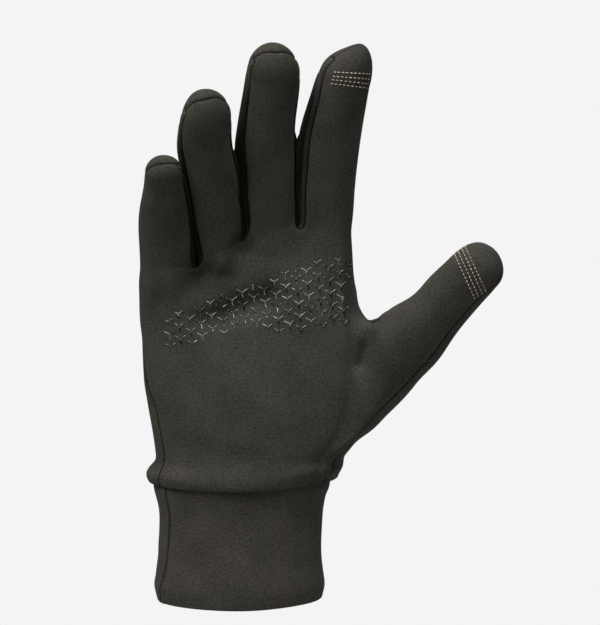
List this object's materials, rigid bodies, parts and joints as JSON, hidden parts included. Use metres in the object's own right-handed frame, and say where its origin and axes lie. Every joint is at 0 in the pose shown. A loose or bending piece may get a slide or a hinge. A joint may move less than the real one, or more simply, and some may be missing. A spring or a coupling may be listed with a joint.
{
  "type": "glove liner",
  "caption": "Right-hand knit glove liner with side strips between the fingers, touch-stitched index and thumb tips, a palm grip band and a folded double cuff.",
  "frame": {"origin": "middle of the cuff's opening, where the wrist goes in", "axes": "+Z from the wrist to the fingertips, -Y the way the palm faces, +X toward the thumb"},
  "size_m": [0.1582, 0.0614, 0.2468],
  "materials": {
    "body_knit": "matt brushed knit",
    "side_knit": "matt brushed knit",
    "cuff_knit": "matt double knit",
    "touch_thread": "spun thread",
    "palm_grip": "glossy silicone"
  },
  "bodies": {
    "root": {"palm_panel": "body_knit", "back_panel": "body_knit", "fourchette_little_ring": "side_knit", "fourchette_ring_middle": "side_knit", "fourchette_middle_index": "side_knit", "cuff": "cuff_knit"}
  },
  "joints": []
}
